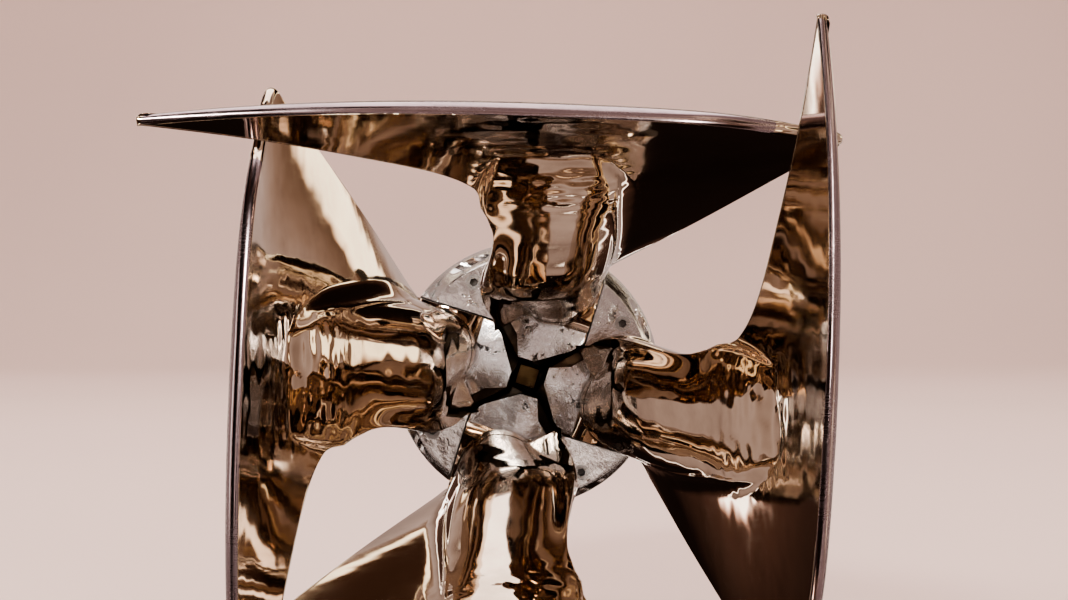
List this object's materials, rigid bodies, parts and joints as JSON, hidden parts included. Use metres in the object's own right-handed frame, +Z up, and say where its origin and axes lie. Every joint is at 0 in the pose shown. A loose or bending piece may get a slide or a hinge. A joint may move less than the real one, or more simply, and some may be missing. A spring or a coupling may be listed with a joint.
{
  "type": "folding boat propeller",
  "caption": "Right-handed folding propeller for a sailing boat, with mirror-polished bronze blades geared together so that they fold back behind a splined hub.",
  "frame": {"origin": "on the shaft axis, at the hub's front face that meets the drive", "axes": "+Y forward along the shaft, towards the boat; +Z up; the blades fold back towards -Y"},
  "size_m": [0.1834, 0.2739, 0.1834],
  "materials": {
    "polished_bronze": "mirror polished, machined silver at the root",
    "hub_metal": "polished nickel-aluminium bronze, silver grey",
    "composite": "moulded, glass filled",
    "nut_bronze": "machined",
    "zinc": "cast, dull",
    "buffer_rubber": "moulded",
    "pin_steel": "ground",
    "screw_steel": "machined",
    "bearing_plastic": "machined bearing plastic"
  },
  "bodies": {
    "hub": {"hub_body": "hub_metal", "drive_sleeve": "composite", "sleeve_screws": "screw_steel", "thrust_washer": "nut_bronze", "shaft_nut": "nut_bronze", "nut_lock_screw": "screw_steel", "anode_1": "zinc", "anode_2": "zinc", "anode_3": "zinc", "anode_screws": "screw_steel", "pivot_pin_1": "pin_steel", "pivot_pin_2": "pin_steel", "pivot_pin_3": "pin_steel", "pivot_pin_4": "pin_steel", "pin_lock_screw_1": "screw_steel", "pin_lock_screw_2": "screw_steel", "pin_lock_screw_3": "screw_steel", "pin_lock_screw_4": "screw_steel", "stop_buffer_1": "buffer_rubber", "stop_buffer_2": "buffer_rubber", "stop_buffer_3": "buffer_rubber", "stop_buffer_4": "buffer_rubber"},
    "blade_1": {"blade_1": "polished_bronze", "blade_bush_1": "bearing_plastic"},
    "blade_2": {"blade_2": "polished_bronze", "blade_bush_2": "bearing_plastic"},
    "blade_3": {"blade_3": "polished_bronze", "blade_bush_3": "bearing_plastic"},
    "blade_4": {"blade_4": "polished_bronze", "blade_bush_4": "bearing_plastic"}
  },
  "joints": [
    {"name": "blade_1_fold", "type": "hinge", "parent": "hub", "child": "blade_1", "pos_m": [0.02869, -0.0914, -0.00877], "axis": [-0.2924, 0, -0.9563], "range_deg": [-80, 0]},
    {"name": "blade_2_fold", "type": "hinge", "parent": "hub", "child": "blade_2", "pos_m": [0.00877, -0.0914, 0.02869], "axis": [0.9563, 0, -0.2924], "range_deg": [-80, 0]},
    {"name": "blade_3_fold", "type": "hinge", "parent": "hub", "child": "blade_3", "pos_m": [-0.02869, -0.0914, 0.00877], "axis": [0.2924, 0, 0.9563], "range_deg": [-80, 0]},
    {"name": "blade_4_fold", "type": "hinge", "parent": "hub", "child": "blade_4", "pos_m": [-0.00877, -0.0914, -0.02869], "axis": [-0.9563, 0, 0.2924], "range_deg": [-80, 0]}
  ],
  "couplings": [
    {"joint": "blade_2_fold", "follows": "blade_1_fold", "ratio": 1},
    {"joint": "blade_3_fold", "follows": "blade_1_fold", "ratio": 1},
    {"joint": "blade_4_fold", "follows": "blade_1_fold", "ratio": 1}
  ]
}
